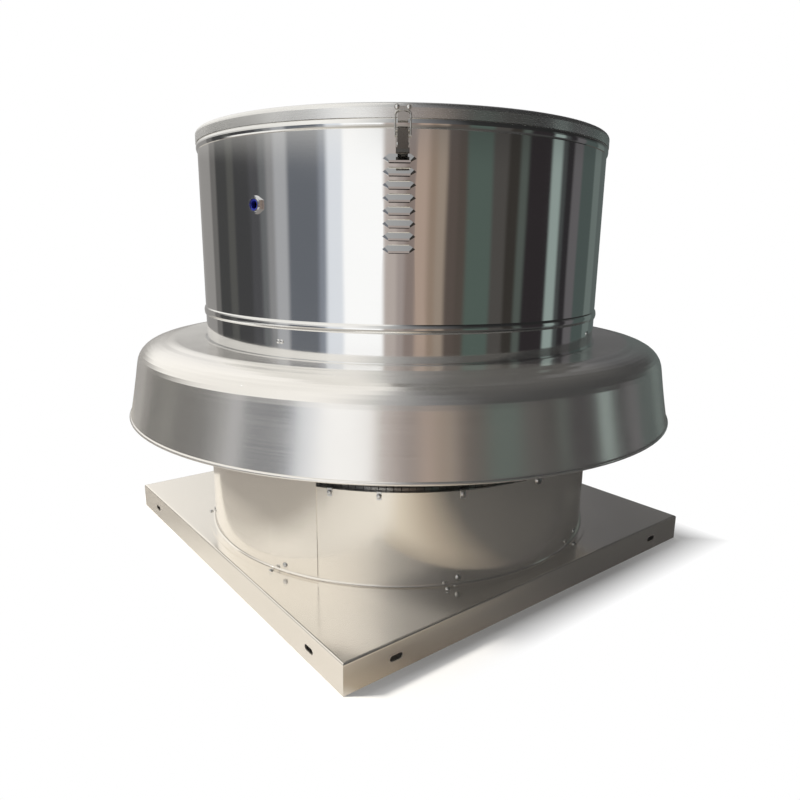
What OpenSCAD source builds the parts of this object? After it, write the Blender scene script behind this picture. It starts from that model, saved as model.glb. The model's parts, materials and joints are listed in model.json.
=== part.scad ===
// Centrifugal roof exhaust fan: curb cap, drum, spun shroud, motor cover and lift-off cap.
// Millimetres. Z is up and the origin is the centre of the curb cap's lower edge.

/* [Curb cap] */
// Side of the square curb cap
curb_side = 870; // [850:5:1000]
// Height of the folded skirt
curb_skirt = 52; // [46:1:90]
// Sheet thickness of the curb cap
curb_sheet = 2; // [1.5:0.1:3]
// Outside radius of the skirt's top fold
curb_fold = 4; // [3.5:0.5:8]
// Height of the ring turned up inside the drum
spigot_h = 28; // [26:1:45]
// Distance from a corner to the centre of a fixing slot
slot_inset = 95; // [60:1:150]
// Length of a fixing slot, end to end
slot_length = 24; // [14:1:40]
// Width of a fixing slot
slot_width = 10; // [6:0.5:14]
// Height of the slots above the lower edge
slot_height = 24; // [14:1:34]

/* [Drum] */
// Outside radius of the drum
drum_r = 403; // [399:0.5:412]
// Height of the drum
drum_h = 174; // [160:1:220]
// Sheet thickness of the drum
drum_sheet = 2; // [1.5:0.1:2.5]
// Width of the drum's out-turned foot
drum_foot = 14; // [10:1:17]
// Radius of the bend above the foot
drum_bend = 5; // [3:0.5:8]

/* [Inlet cone] */
// Height of the cone's flat plate above the curb cap
cone_rise = 138; // [120:1:145]
// Sheet thickness of the cone
cone_sheet = 2.5; // [2:0.1:3]
// Depth of the cone's turned-down rim
cone_rim = 25; // [20:1:32]
// Radius inside the throat
throat_r = 222; // [200:1:232]
// Height of the throat above the flat plate
throat_rise = 76; // [66:1:84]
// Outer radius of the cone's bell mouth
bell_r = 330; // [300:1:340]

/* [Wheel] */
// Outside radius of the wheel
wheel_r = 322; // [310:1:335]
// Height of the wheel, neck to back plate
wheel_h = 143; // [132:1:148]
// Number of blades
blade_count = 10; // [8:1:12]
// Blade sheet thickness
blade_sheet = 3; // [2:0.5:4]
// Radius of curvature of a blade
blade_curve = 420; // [300:10:700]
// Angle that a blade trails between its inner and outer edges
blade_sweep = 26; // [20:1:32]
// Back plate and inlet ring thickness
wheel_sheet = 2.5; // [2:0.5:3.5]
// Gap between the throat and the wheel's neck
eye_gap = 5.5; // [4:0.5:7]
// Depth that the throat reaches into the neck
neck_overlap = 8; // [5:1:12]
// Radius of the fan shaft
shaft_r = 17.5; // [15:0.5:20]

/* [Bird screen] */
// Thickness of the screen wires
screen_wire = 2; // [1.5:0.1:2.2]
// Number of upright wires
screen_columns = 48; // [40:8:64]
// Number of rows of openings
screen_rows = 5; // [3:1:6]

/* [Shroud] */
// Outside radius of the shroud's rim
shroud_r = 554; // [545:1:570]
// Height from the rim to the shroud's flat top
shroud_h = 144; // [134:1:157]
// Free height between the drum and the shroud's rim
rim_gap = 68; // [60:1:90]
// Radius of the ridge where the shoulder starts
ridge_r = 466; // [450:1:475]
// Rise of the ridge above the flat top
ridge_rise = 4; // [2:0.5:6]
// Radius where the shoulder meets the skirt
shoulder_r = 533; // [527:1:538]
// Depth of the shoulder below the flat top
shoulder_drop = 40; // [34:1:50]
// Sheet thickness of the shroud
shroud_sheet = 2; // [1.6:0.1:3]
// Radius of the rolled bead round the rim
rim_bead = 3.2; // [2.6:0.1:4.5]

/* [Motor compartment] */
// Outside radius of the collar and the motor cover
cover_r = 400; // [396:0.5:404]
// Sheet thickness of the collar and the cover
cover_sheet = 2; // [1.5:0.1:2.5]
// Height of the collar
collar_h = 62; // [56:1:80]
// Height of the motor cover above the collar
cover_h = 312; // [306:1:360]
// Sheet thickness of the deck plate
deck_sheet = 3; // [2.5:0.5:4]
// Height of the deck's turned-up rim
deck_rim = 36; // [32:1:44]

/* [Louvres] */
// Louvres in each column
louvre_count = 8; // [4:1:9]
// Distance between louvres
louvre_pitch = 18.5; // [16:0.5:20]
// Width of a louvre
louvre_w = 50; // [36:1:60]
// Depth that a louvre stands out of the cover
louvre_out = 5; // [4:0.1:5.4]
// Distance from the cover's top to the first louvre
louvre_drop = 66; // [64:1:74]

/* [Cap] */
// Gap between the cap's skirt and the cover
cap_gap = 1.2; // [0.8:0.1:2]
// Sheet thickness of the cap
cap_sheet = 1.8; // [1.5:0.1:2.5]
// Straight height of the cap's skirt
cap_skirt = 14; // [14:0.5:22]
// Radius of the cap's shoulder
cap_shoulder = 8; // [6:0.5:10]
// Rise of the cap's crown
cap_crown = 18; // [10:1:40]

/* [Latches] */
// Width of a latch lever
lever_w = 15.5; // [13:0.5:18]
// Length of a lever from its pivot to the start of the finger lip
lever_l = 26; // [23:1:28]
// Diameter of the bail wire
bail_wire = 2.4; // [2:0.1:2.8]
// Diameter of the lever's pivot pin
latch_pin = 3; // [2.5:0.1:3.2]
// Distance between the lever's pivot and the bail's pivot
latch_throw = 7.5; // [7:0.1:8.5]

/* [Drive] */
// Distance between the fan shaft and the motor shaft
drive_centres = 188; // [182:1:200]
// Outside radius of the fan pulley
fan_pulley_r = 100; // [90:1:105]
// Outside radius of the motor pulley
motor_pulley_r = 50; // [45:1:60]
// Width of the belt's back
belt_w = 11.9; // [10:0.1:12]
// Thickness of the belt
belt_t = 8; // [6:0.5:8.5]
// Height of the rubber isolators
isolator_h = 20; // [16:1:26]
// Radius of the motor frame without its fins
motor_r = 84; // [78:1:88]
// Height of the motor frame
motor_h = 140; // [120:5:150]
// Radius of the motor shaft
motor_shaft_r = 14; // [11:0.5:16]
// Number of fins round the motor frame
fin_count = 36; // [24:4:48]

/* [Hidden] */
$fn = 96;

// Direction of the front latch, and of what stands beside it
front = -128;
quarter = 90;
// Small gap of a keyed bore, of a seated piece, of a running shaft and of pieces that move past each other
key_gap = 0.02;
seat_gap = 0.1;
run_gap = 0.05;
move_gap = 0.35;
past = 1;

// Levels, from the curb cap up
curb_top = curb_skirt;
drum_top = curb_top + drum_h;
plate_z = curb_top + cone_rise;
throat_z = plate_z + throat_rise;
rim_z = drum_top + rim_gap;
deck_z = rim_z + shroud_h;
annulus_z = deck_z - shroud_sheet;
deck_top = deck_z + deck_sheet;
collar_top = deck_z + collar_h;
cover_top = collar_top + cover_h;
bead_h = 14;
bead_out = 2.6;
bead_inset = 11;
bead_top = cover_top - bead_inset;
cap_low = bead_top + 0.3;
cap_r = cover_r + cap_gap + cap_sheet;
cap_edge = cap_low + cap_skirt + cap_shoulder;

// Wheel levels
neck_r = throat_r + cone_sheet + eye_gap;
neck_z = throat_z - neck_overlap;
back_z = neck_z + wheel_h - wheel_sheet;
hub_flange = 9;
hub_flange_r = 62;
hub_boss_r = 33.5;
hub_low = 56;
hub_top = back_z + wheel_sheet + hub_flange;

// Drive levels
base_z = deck_top + isolator_h;
base_sheet = 5;
base_top = base_z + base_sheet;
shelf_z = base_top + 200;
shelf_sheet = 6;
housing_h = 32;
belt_z = shelf_z + shelf_sheet + housing_h + 16;
pulley_w = 22;
motor_low = base_top + 58;
motor_top = motor_low + motor_h;
shaft_top = belt_z + 24;

// Screen and legs
screen_r = drum_r - drum_sheet - 0.5;
screen_low = drum_top - 12;
screen_hem = 12;
leg_r = screen_r - screen_wire - 0.3;
leg_w = 44;
leg_d = 20;
leg_sheet = 2.5;
leg_tab = 38;
leg_bolt_r = leg_r - 24;
leg_bolt_z = drum_top - 7;

// Hardware
screw_r = 2.5;
rivet_r = 1.6;
bolt_r = 4;
nut_af = 13;
nut_h = 6.5;

function arc(cx, cz, r, a0, a1, n = 6) =
    [for (i = [0:n]) let (a = a0 + (a1 - a0) * i / n) [cx + r * cos(a), cz + r * sin(a)]];
function curve(p0, p1, p2, n = 8) =
    [for (i = [0:n]) let (t = i / n) (1 - t) * (1 - t) * p0 + 2 * t * (1 - t) * p1 + t * t * p2];
function unit(v) = v / norm(v);
function right_of(p, i) =
    let (a = p[max(i - 1, 0)], b = p[min(i + 1, len(p) - 1)]) unit([b[1] - a[1], a[0] - b[0]]);
// Closed outline of a sheet whose one face follows the path p and whose other lies t to its right
function sheet_outline(p, t) = concat(p, [for (i = [len(p) - 1:-1:0])
    let (q = p[i] + t * right_of(p, i)) [max(q[0], 0), q[1]]]);

module spun(p, t) rotate_extrude() polygon(sheet_outline(p, t));
module ring(r0, r1, z0, z1) rotate_extrude() translate([r0, z0]) square([r1 - r0, z1 - z0]);
module around(angles) for (a = angles) rotate([0, 0, a]) children();
// Cylinder along the local radial direction, from radius u0 to u1 at height z
module radial_pin(r, u0, u1, z) translate([u0, 0, z]) rotate([0, 90, 0]) cylinder(r = r, h = u1 - u0);
module hex_prism(across, h) cylinder(r = across / sqrt(3), h = h, $fn = 6);
// Plate of an outline drawn as seen from outside, from radius u outwards
module facing(u, h) translate([u, 0, 0]) rotate([90, 0, 90]) linear_extrude(h) children();

// Screw or rivet along the local radial direction, its head seated at radius u
module radial_screw(u, z, shank_r, head_r, head_h, length) translate([u, 0, z]) rotate([0, 90, 0])
    rotate_extrude() polygon(concat(
        [[0, -length], [shank_r, -length], [shank_r, 0], [head_r, 0]],
        curve([head_r, head_h * 0.4], [head_r * 0.8, head_h], [0, head_h], 4)
    ));
// Bolt along Z with a hexagon head at z and its shank below
module bolt_down(r, length) {
    hex_prism(r * 3.2, r * 1.3);
    translate([0, 0, -length]) cylinder(r = r, h = length + r);
}

// Profile of a folded tray: a rectangle with two rounded upper corners
function tray(w, h, r) = concat([[-w / 2, 0], [w / 2, 0]],
    arc(w / 2 - r, h - r, r, 0, 90, 4), arc(r - w / 2, h - r, r, 90, 180, 4));
module tray_solid(w, h, r) intersection() {
    translate([0, w / 2, 0]) rotate([90, 0, 0]) linear_extrude(w) polygon(tray(w, h, r));
    translate([-w / 2, 0, 0]) rotate([90, 0, 90]) linear_extrude(w) polygon(tray(w, h, r));
}

slot_pitch = curb_side - 2 * slot_inset;
module slot() {
    run = slot_length - slot_width;
    reach = 2 * curb_sheet + 2 * past;
    rotate([90, 0, 0]) linear_extrude(reach, center = true) {
        square([run, slot_width], center = true);
        for (s = [-1, 1]) translate([s * run / 2, 0]) circle(d = slot_width);
    }
}

// Places of the fixings round the drum, from the front latch
foot_screw_angles = [-75, -29.5, 15, 61, 106, 152, 197, 243];
flange_screw_angles = [-78, -33, 12, 57, 102, 147, 192, 237];
clip_angles = [-103, -79, -16.5, -4.5, 15.5, 63, 87, 111, 152, 174, 196, 243];
leg_angles = [0, 90, 180, 270];
foot_screw_z = curb_top + 16;
flange_screw_r = drum_r + drum_foot - 4;
clip_z = drum_top - 6;

spigot_r = drum_r - drum_sheet - seat_gap;
// Folded tray with a ring turned up round its duct opening, which the drum is screwed to
module curb_cap() color("gainsboro") difference() {
    union() {
        tray_solid(curb_side, curb_skirt, curb_fold);
        translate([0, 0, curb_skirt - curb_sheet]) cylinder(r = spigot_r, h = curb_sheet + spigot_h);
    }
    translate([0, 0, -past])
        tray_solid(curb_side - 2 * curb_sheet, curb_skirt - curb_sheet + past, curb_fold - curb_sheet);
    translate([0, 0, curb_skirt - curb_sheet - past])
        cylinder(r = spigot_r - curb_sheet, h = curb_sheet + spigot_h + 2 * past);
    for (side = [0:3], s = [-1, 1]) rotate([0, 0, quarter * side])
        translate([s * slot_pitch / 2, -curb_side / 2, slot_height]) slot();
    around([for (a = foot_screw_angles) front + a])
        radial_pin(screw_r + seat_gap, spigot_r - curb_sheet - past, spigot_r + past, foot_screw_z);
    around([for (a = flange_screw_angles) front + a])
        translate([flange_screw_r, 0, curb_top - curb_sheet - past])
        cylinder(r = screw_r + seat_gap, h = curb_sheet + 2 * past);
}

// Lap joint of the rolled sheet, whose outer layer stands above the drum's edge
lap_start = -34;
lap_arc = 14;
lap_sheet = 1.2;
lap_rise = 16;
lap_low = curb_top + drum_sheet + drum_bend + 1.5;
function lap_at(a) = a > lap_start && a < lap_start + lap_arc ? lap_sheet : 0;
module drum() color("gainsboro") difference() {
    union() {
        spun(concat(
            [[drum_r, drum_top]],
            arc(drum_r + drum_bend, curb_top + drum_sheet + drum_bend, drum_bend, 180, 270, 5),
            [[drum_r + drum_foot, curb_top + drum_sheet]]
        ), drum_sheet);
        rotate([0, 0, front + lap_start]) rotate_extrude(angle = lap_arc)
            translate([drum_r - drum_sheet / 2, lap_low])
            square([drum_sheet / 2 + lap_sheet, drum_top + lap_rise - lap_low]);
    }
    around([for (a = flange_screw_angles) front + a])
        translate([flange_screw_r, 0, curb_top - past])
        cylinder(r = screw_r + seat_gap, h = 2 * drum_sheet + past);
    around([for (a = foot_screw_angles) front + a])
        radial_pin(screw_r + seat_gap, drum_r - drum_sheet - past, drum_r + lap_sheet + past, foot_screw_z);
    around([for (a = clip_angles) front + a])
        radial_pin(screw_r + seat_gap, drum_r - drum_sheet - past, drum_r + past, clip_z);
    around(leg_angles)
        radial_pin(bolt_r + seat_gap, drum_r - drum_sheet - past, drum_r + past, leg_bolt_z);
}

module drum_screws() color("silver") {
    for (a = foot_screw_angles) rotate([0, 0, front + a])
        radial_screw(drum_r + lap_at(a), foot_screw_z, screw_r, 4.5, 3, drum_sheet + curb_sheet + 4);
    around([for (a = flange_screw_angles) front + a])
        translate([flange_screw_r, 0, curb_top + drum_sheet]) rotate([0, -90, 0])
        radial_screw(0, 0, screw_r, 4, 3, 8);
}

throat_out = throat_r + cone_sheet;
cone_r = drum_r - drum_sheet - seat_gap;
cone_bend = 5;
module inlet_cone() color("lightgray") difference() {
    spun(concat(
        [[throat_out, throat_z]],
        curve([throat_out, throat_z - 14], [throat_out + 8, plate_z], [bell_r, plate_z], 10),
        arc(cone_r - cone_bend, plate_z - cone_bend, cone_bend, 90, 0, 4),
        [[cone_r, plate_z - cone_rim]]
    ), cone_sheet);
    around(leg_angles)
        translate([leg_bolt_r, 0, plate_z - cone_sheet - past])
        cylinder(r = bolt_r + seat_gap, h = cone_sheet + 2 * past);
}

// Welded screen: a thin cylinder with a grid of openings above its hem, in panels that meet at a wire
screen_panels = 8;
panel_gap = 0.3;
screen_turn = -1;
screen_bar = 2.5;
module bird_screen() color("dimgray") {
    top_z = annulus_z - 0.3;
    rows_low = screen_low + screen_hem;
    row_h = (top_z - screen_hem / 2 - rows_low) / screen_rows;
    step = 360 / screen_columns;
    chord = 2 * screen_r * sin(step / 2) - screen_bar;
    difference() {
        ring(screen_r - screen_wire, screen_r, screen_low, top_z);
        for (i = [0:screen_columns - 1], j = [0:screen_rows - 1])
            rotate([0, 0, screen_turn + (i + 0.5) * step])
            translate([screen_r - screen_wire - 4, -chord / 2, rows_low + j * row_h])
            cube([screen_wire + 8, chord, row_h - screen_bar]);
        around([for (a = clip_angles) front + a])
            radial_pin(screw_r + seat_gap, screen_r - 8, screen_r + past, clip_z);
        around(leg_angles) radial_pin(bolt_r + seat_gap, screen_r - 8, screen_r + past, leg_bolt_z);
        around([for (k = [0:screen_panels - 1]) screen_turn + 360 * k / screen_panels])
            translate([screen_r - screen_wire - past, -panel_gap / 2, screen_low - past])
            cube([screen_wire + 2 * past, panel_gap, top_z - screen_low + 2 * past]);
    }
}

clip_w = 8;
clip_sheet = 1.2;
clip_gap = 0.3;
clip_leg = 7;
clip_in = screen_r - screen_wire - 0.4;
clip_out = drum_r + clip_gap;
// Clip hooked over the drum's edge, with one leg inside the screen
module screen_clips() color("silver") around([for (a = clip_angles) front + a]) difference() {
    translate([0, clip_w / 2, 0]) rotate([90, 0, 0]) linear_extrude(clip_w) polygon([
        [clip_out + clip_sheet, clip_z - clip_leg],
        [clip_out + clip_sheet, drum_top + clip_gap + clip_sheet],
        [clip_in - clip_sheet, drum_top + clip_gap + clip_sheet],
        [clip_in - clip_sheet, clip_z - clip_leg],
        [clip_in, clip_z - clip_leg],
        [clip_in, drum_top + clip_gap],
        [clip_out, drum_top + clip_gap],
        [clip_out, clip_z - clip_leg]
    ]);
    radial_pin(screw_r + seat_gap, screen_r - 10, drum_r + 5, clip_z);
}

module clip_screws() color("silver") around([for (a = clip_angles) front + a])
    radial_screw(clip_out + clip_sheet, clip_z, screw_r, 4.2, 3, 10);

// Channel leg with a curved back, standing on the cone's plate under the shroud
module support_legs() color("lightgray") around(leg_angles) difference() {
    union() {
        translate([0, 0, plate_z]) linear_extrude(annulus_z - plate_z) difference() {
            intersection() {
                circle(r = leg_r);
                translate([leg_r - leg_d, -leg_w / 2]) square([leg_d + past, leg_w]);
            }
            intersection() {
                circle(r = leg_r - leg_sheet);
                translate([leg_r - leg_d - past, leg_sheet - leg_w / 2])
                    square([leg_d + 2 * past, leg_w - 2 * leg_sheet]);
            }
        }
        for (z = [plate_z, annulus_z - leg_sheet])
            translate([0, 0, z]) linear_extrude(leg_sheet) intersection() {
                circle(r = leg_r - leg_sheet / 2);
                translate([leg_r - leg_tab, leg_sheet / 2 - leg_w / 2])
                    square([leg_tab, leg_w - leg_sheet]);
            }
    }
    for (z = [plate_z, annulus_z - leg_sheet]) translate([leg_bolt_r, 0, z - past])
        cylinder(r = bolt_r + seat_gap, h = leg_sheet + 2 * past);
    radial_pin(bolt_r + seat_gap, leg_r - leg_sheet - past, leg_r + past, leg_bolt_z);
}

module leg_bolts() color("silver") around(leg_angles) {
    translate([leg_bolt_r, 0, plate_z + leg_sheet]) bolt_down(bolt_r, leg_sheet + cone_sheet + 5);
    translate([leg_bolt_r, 0, deck_top]) bolt_down(bolt_r, deck_sheet + shroud_sheet + leg_sheet + 5);
    radial_screw(drum_r, leg_bolt_z, bolt_r, 6.5, 4.5, drum_r - leg_r + leg_sheet + 4);
}

shroud_in = leg_r - leg_tab - 2;
shroud_low = rim_z + rim_bead;
module shroud() color("silver") difference() {
    union() {
        spun(concat(
            [[shroud_in, deck_z]],
            [[cover_r + 6, deck_z]],
            curve([ridge_r - 8, deck_z + ridge_rise - 1], [ridge_r, deck_z + ridge_rise],
                [ridge_r + 8, deck_z + ridge_rise - 2], 4),
            curve([ridge_r + 14, deck_z + ridge_rise - 3.5], [ridge_r + 62, deck_z - 4],
                [shoulder_r, deck_z - shoulder_drop], 9),
            curve([shoulder_r + 2, deck_z - shoulder_drop - 12], [shoulder_r + 10, shroud_low + 40],
                [shroud_r - rim_bead + 1, shroud_low], 7)
        ), shroud_sheet);
        rotate_extrude() translate([shroud_r - rim_bead, shroud_low]) circle(r = rim_bead, $fn = 24);
    }
    around(leg_angles) translate([leg_bolt_r, 0, annulus_z - past])
        cylinder(r = bolt_r + seat_gap, h = shroud_sheet + 2 * past);
}

collar_foot = 4.5;
rivet_pair = 0.52;
rivet_pair_angles = [for (k = [0:3], s = [-1, 1]) -29.5 + quarter * k + rivet_pair * s];
rivet_z = deck_z + 28;
wall_r = cover_r - cover_sheet;
shaft_hole_r = 30;
rim_sheet = 2.5;
isolator_x = 95;
isolator_y = 105;
isolator_r = 14;
isolator_stud_r = 4;
stud_places = [for (x = [-isolator_x, isolator_x + 80], y = [-isolator_y, isolator_y]) [x, y]];
module deck_plate() color("lightgray") difference() {
    union() {
        ring(shaft_hole_r, wall_r, deck_z, deck_top);
        ring(wall_r - rim_sheet, wall_r, deck_z, deck_z + deck_rim);
    }
    around(leg_angles) translate([leg_bolt_r, 0, deck_z - past])
        cylinder(r = bolt_r + seat_gap, h = deck_sheet + 2 * past);
    around([for (a = rivet_pair_angles) front + a])
        radial_pin(rivet_r + seat_gap, wall_r - rim_sheet - past, wall_r + past, rivet_z);
    for (p = stud_places) translate([p[0], p[1], deck_z - past])
        cylinder(r = isolator_stud_r + seat_gap, h = deck_sheet + 2 * past);
}

module collar() color("silver") difference() {
    union() {
        ring(wall_r, cover_r, deck_z, collar_top);
        ring(wall_r, cover_r + collar_foot, deck_z, deck_z + cover_sheet);
    }
    around([for (a = rivet_pair_angles) front + a])
        radial_pin(rivet_r + seat_gap, wall_r - past, cover_r + past, rivet_z);
}

module collar_rivets() color("silver") around([for (a = rivet_pair_angles) front + a])
    radial_screw(cover_r, rivet_z, rivet_r, 3.4, 1.6, cover_sheet + rim_sheet + 2);

// Rubber mounts between the deck and the drive base, each with its stud and nut
module isolators() color("black") for (p = stud_places) translate([p[0], p[1], deck_top]) {
    rotate_extrude() polygon(concat(
        [[0, 0], [isolator_r, 0]],
        curve([isolator_r, 3], [isolator_r - 5, isolator_h / 2], [isolator_r, isolator_h - 3], 6),
        [[isolator_r, isolator_h], [0, isolator_h]]
    ));
    translate([0, 0, -deck_sheet - 5]) cylinder(r = isolator_stud_r, h = deck_sheet + 6);
    translate([0, 0, isolator_h - 1]) cylinder(r = isolator_stud_r, h = base_sheet + 12);
    translate([0, 0, isolator_h + base_sheet]) hex_prism(nut_af, 6);
}

base_low_x = -120;
base_high_x = drive_centres + 12;
base_half_y = 125;
bracket_x = drive_centres - 100;
bracket_sheet = 8;
bracket_foot = 58;
bracket_half_y = 80;
bracket_bolt_x = bracket_x + 36;
bracket_bolt_y = 60;
bracket_slot = 30;
stand_bolt_x = [-58, 42];
stand_bolt_y = 84;
flange_half = 48;
flange_bolt = 36;
flange_h = 13;
insert_r = 31;
boss_r = flange_half - 8;
module drive_base() color("slategray") difference() {
    translate([base_low_x, -base_half_y, base_z])
        cube([base_high_x - base_low_x, 2 * base_half_y, base_sheet]);
    translate([0, 0, base_z - past]) cylinder(r = shaft_hole_r, h = base_sheet + 2 * past);
    for (p = stud_places) translate([p[0], p[1], base_z - past])
        cylinder(r = isolator_stud_r + seat_gap, h = base_sheet + 2 * past);
    for (x = stand_bolt_x, y = [-stand_bolt_y, stand_bolt_y]) translate([x, y, base_z - past])
        cylinder(r = bolt_r + seat_gap, h = base_sheet + 2 * past);
    for (x = [-flange_bolt, flange_bolt], y = [-flange_bolt, flange_bolt])
        translate([x, y, base_z - past]) cylinder(r = bolt_r + 1 + seat_gap, h = base_sheet + 2 * past);
    for (y = [-bracket_bolt_y, bracket_bolt_y]) translate([bracket_bolt_x, y, base_z - past])
        cylinder(r = bolt_r + 1 + seat_gap, h = base_sheet + 2 * past);
}

// Folded stand that carries the upper bearing over the lower one
stand_x0 = -72;
stand_x1 = 56;
stand_y = 70;
stand_foot = 28;
stand_sheet = 5;
web_rise = 20;
tension_rise = 22;
tension_z = base_top + web_rise + tension_rise;
shoulder_w = 20;
shoulder_h = 60;
module bearing_stand() color("slategray") difference() {
    union() {
        translate([stand_x0, -stand_y, shelf_z]) cube([stand_x1 - stand_x0, 2 * stand_y, shelf_sheet]);
        for (s = [-1, 1]) {
            translate([0, s * (stand_y - stand_sheet / 2) + stand_sheet / 2, 0]) rotate([90, 0, 0])
                linear_extrude(stand_sheet) polygon([
                    [stand_x0, base_top], [stand_x1, base_top], [stand_x1, shelf_z + past],
                    [stand_x0 + shoulder_w, shelf_z + past], [stand_x0, shelf_z - shoulder_h]
                ]);
            translate([stand_x0, s > 0 ? stand_y - past : -stand_y - stand_foot, base_top])
                cube([stand_x1 - stand_x0, stand_foot + past, stand_sheet]);
        }
        translate([stand_x1 - stand_sheet, -stand_y, base_top + web_rise])
            cube([stand_sheet, 2 * stand_y, shelf_z - base_top - web_rise + past]);
    }
    radial_pin(bolt_r + seat_gap, stand_x1 - stand_sheet - past, stand_x1 + past, tension_z);
    translate([0, 0, shelf_z - past]) cylinder(r = shaft_hole_r, h = shelf_sheet + 2 * past);
    for (x = [-flange_bolt, flange_bolt], y = [-flange_bolt, flange_bolt])
        translate([x, y, shelf_z - past]) cylinder(r = bolt_r + 1 + seat_gap, h = shelf_sheet + 2 * past);
    for (x = stand_bolt_x, y = [-stand_bolt_y, stand_bolt_y]) translate([x, y, base_top - past])
        cylinder(r = bolt_r + seat_gap, h = stand_sheet + 2 * past);
}

module drive_bolts() color("silver") {
    for (x = stand_bolt_x, y = [-stand_bolt_y, stand_bolt_y])
        translate([x, y, base_top + stand_sheet]) bolt_down(bolt_r, stand_sheet + base_sheet + 6);
    for (y = [-bracket_bolt_y, bracket_bolt_y]) translate([bracket_bolt_x, y, base_top + bracket_sheet])
        bolt_down(bolt_r + 1, bracket_sheet + base_sheet + 6);
}

module housing() difference() {
    union() {
        linear_extrude(flange_h) difference() {
            square(2 * flange_half, center = true);
            for (x = [-1, 1], y = [-1, 1]) translate([x * flange_half, y * flange_half])
                rotate(45) square(16, center = true);
        }
        rotate_extrude() polygon(concat(
            [[insert_r, 0], [boss_r + 1, 0]],
            curve([boss_r + 1, flange_h], [boss_r, flange_h], [boss_r, housing_h - 4], 4),
            [[boss_r - 3, housing_h - 1], [insert_r, housing_h - 1]]
        ));
    }
    translate([0, 0, -past]) cylinder(r = insert_r + seat_gap / 2, h = housing_h + 2 * past);
    for (x = [-flange_bolt, flange_bolt], y = [-flange_bolt, flange_bolt])
        translate([x, y, -past]) cylinder(r = bolt_r + 1 + seat_gap, h = flange_h + 2 * past);
}
module bearing_housings() color("dimgray") for (z = [base_top, shelf_z + shelf_sheet])
    translate([0, 0, z]) housing();
module bearing_inserts() color("silver") for (z = [base_top, shelf_z + shelf_sheet])
    translate([0, 0, z]) ring(shaft_r + run_gap, insert_r, 1, housing_h);
module bearing_bolts() color("silver")
    for (z = [base_top, shelf_z + shelf_sheet])
    for (x = [-flange_bolt, flange_bolt], y = [-flange_bolt, flange_bolt])
    translate([x, y, z + flange_h]) bolt_down(bolt_r + 1, flange_h + 12);

// Motor bracket: a slotted foot and an upright plate, with two gussets
bracket_h = 190;
foot_pad_h = 12;
foot_pad_inset = 22;
foot_pad_z = [motor_low + foot_pad_inset, motor_top - foot_pad_inset - foot_pad_h];
foot_pad_x = 30;
foot_bolt_y = 66;
gusset_sheet = 6;
gusset_h = 30;
module bracket_slots() for (y = [-bracket_bolt_y, bracket_bolt_y])
    translate([bracket_bolt_x, y, base_top - past]) linear_extrude(bracket_sheet + 2 * past) {
        square([bracket_slot - 2 * bolt_r - 2, 2 * (bolt_r + 1 + seat_gap)], center = true);
        for (s = [-1, 1]) translate([s * (bracket_slot / 2 - bolt_r - 1), 0])
            circle(r = bolt_r + 1 + seat_gap);
    }
module motor_bracket() color("slategray") difference() {
    union() {
        translate([bracket_x - bracket_sheet, -bracket_half_y, base_top])
            cube([bracket_foot + bracket_sheet, 2 * bracket_half_y, bracket_sheet]);
        translate([bracket_x - bracket_sheet, -bracket_half_y, base_top])
            cube([bracket_sheet, 2 * bracket_half_y, bracket_h]);
        for (s = [-1, 1]) translate([0, s * (bracket_half_y - gusset_sheet / 2) + gusset_sheet / 2, 0])
            rotate([90, 0, 0]) linear_extrude(gusset_sheet) polygon([
                [bracket_x - past, base_top + bracket_sheet - past],
                [bracket_x + bracket_foot - gusset_sheet, base_top + bracket_sheet - past],
                [bracket_x - past, base_top + bracket_sheet + gusset_h]
            ]);
    }
    bracket_slots();
    for (z = foot_pad_z, y = [-foot_bolt_y, foot_bolt_y])
        translate([0, y, 0]) radial_pin(bolt_r + 1 + seat_gap, bracket_x - bracket_sheet - past,
            bracket_x + past, z + foot_pad_h / 2);
}

// Belt tensioner: its head presses on the bracket, two nuts hold its shank in the stand's web
module tension_bolt() color("silver") {
    radial_pin(bolt_r, stand_x1 - stand_sheet - 10, bracket_x - bracket_sheet - 1, tension_z);
    for (x = [stand_x1 - stand_sheet - nut_h, stand_x1, bracket_x - bracket_sheet - nut_h])
        translate([x, 0, tension_z]) rotate([0, 90, 0]) hex_prism(nut_af, nut_h);
}

module at_motor(z = 0) translate([drive_centres, 0, z]) children();
shield_h = 16;
fin_out = 9;
fin_w = 3;
motor_bore = motor_r - 22;
shield_bore = motor_shaft_r + run_gap;
shield_seat = motor_bore - seat_gap;
shield_spigot = 12;
shield_bend = 6;
shield_boss_r = 38;
shield_top = motor_top + shield_h + 5;
cowl_r = motor_r + fin_out - 1;
cowl_low = motor_low - 36;
cowl_sheet = 2;
cowl_lip = 3.5;
cowl_bend = 8;
cowl_eye_r = 8;
cowl_hole_r = 4.5;
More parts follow.
